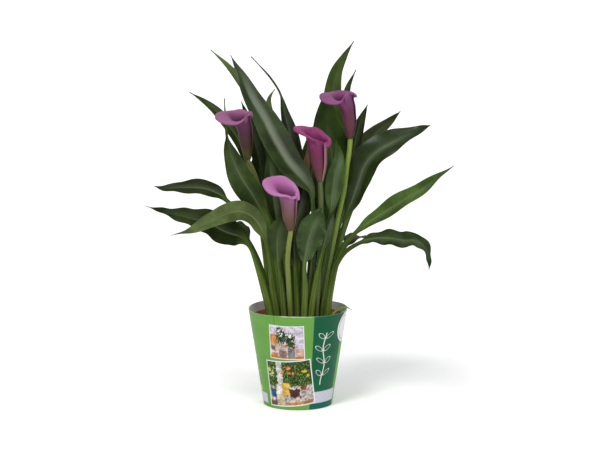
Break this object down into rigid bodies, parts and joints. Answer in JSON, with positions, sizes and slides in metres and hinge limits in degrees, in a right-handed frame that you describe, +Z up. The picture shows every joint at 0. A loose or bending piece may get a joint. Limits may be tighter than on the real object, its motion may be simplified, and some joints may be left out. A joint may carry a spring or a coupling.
{
  "type": "potted calla lily",
  "caption": "Flowering calla lily with lance-shaped leaves and funnel flowers, growing in a nursery pot inside a tapered printed card sleeve.",
  "frame": {"origin": "centre of the nursery pot's underside, on the surface that the pot stands on", "axes": "+Z up along the pot's axis, -Y towards the front of the plant, +X to the right seen from the front"},
  "size_m": [0.4258, 0.2468, 0.5113],
  "materials": {
    "leaf": "waxy dark green leaf, semi-gloss, with a paler midrib and a matt paler underside",
    "young_leaf": "fresh yellow-green young leaf, semi-gloss",
    "stem": "smooth yellow-green flower stem, satin",
    "spathe": "purple-pink petal-like sheath, soft satin, fading to olive brown at its foot",
    "spadix": "orange-brown spike, finely pebbled, matt",
    "bud": "olive-brown furled bud, satin",
    "card": "coated printed card, light and dark green outside, white inside",
    "pot": "terracotta-red thin moulded plastic, satin",
    "soil": "dark damp potting soil, crumbly and matt",
    "tuber": "brown corky skin, matt"
  },
  "bodies": {
    "root": {"bud_furled": "bud", "card_sleeve": "card", "leaf_back_broad": "leaf", "leaf_back_slim": "leaf", "leaf_back_tall": "leaf", "leaf_centre_back": "leaf", "leaf_centre_dark": "leaf", "leaf_centre_glossy": "leaf", "leaf_centre_narrow": "leaf", "leaf_front_crumpled": "leaf", "leaf_front_short": "leaf", "leaf_left_broad": "leaf", "leaf_left_front": "leaf", "leaf_left_high": "leaf", "leaf_left_inner": "leaf", "leaf_left_lower": "leaf", "leaf_left_slim": "leaf", "leaf_left_tall": "leaf", "leaf_left_upper": "leaf", "leaf_middle_left": "leaf", "leaf_middle_right": "leaf", "leaf_over_rim": "young_leaf", "leaf_rear_arching": "leaf", "leaf_rear_centre": "leaf", "leaf_rear_left": "leaf", "leaf_rear_low": "leaf", "leaf_rear_outer_left": "leaf", "leaf_rear_outer_right": "leaf", "leaf_rear_right": "leaf", "leaf_rear_short": "leaf", "leaf_rear_slim": "leaf", "leaf_right_back": "leaf", "leaf_right_broad": "leaf", "leaf_right_drooping": "leaf", "leaf_right_inner": "leaf", "leaf_right_long": "leaf", "leaf_right_short": "leaf", "leaf_right_upright": "leaf", "nursery_pot": "pot", "soil": "soil", "spadix_centre": "spadix", "spadix_front": "spadix", "spadix_left": "spadix", "spadix_right": "spadix", "spathe_centre": "spathe", "spathe_front": "spathe", "spathe_left": "spathe", "spathe_right": "spathe", "stem_bud": "stem", "stem_centre": "stem", "stem_front": "stem", "stem_left": "stem", "stem_right": "stem", "tuber_left": "tuber", "tuber_right_back": "tuber", "tuber_right_front": "tuber"}
  },
  "joints": []
}
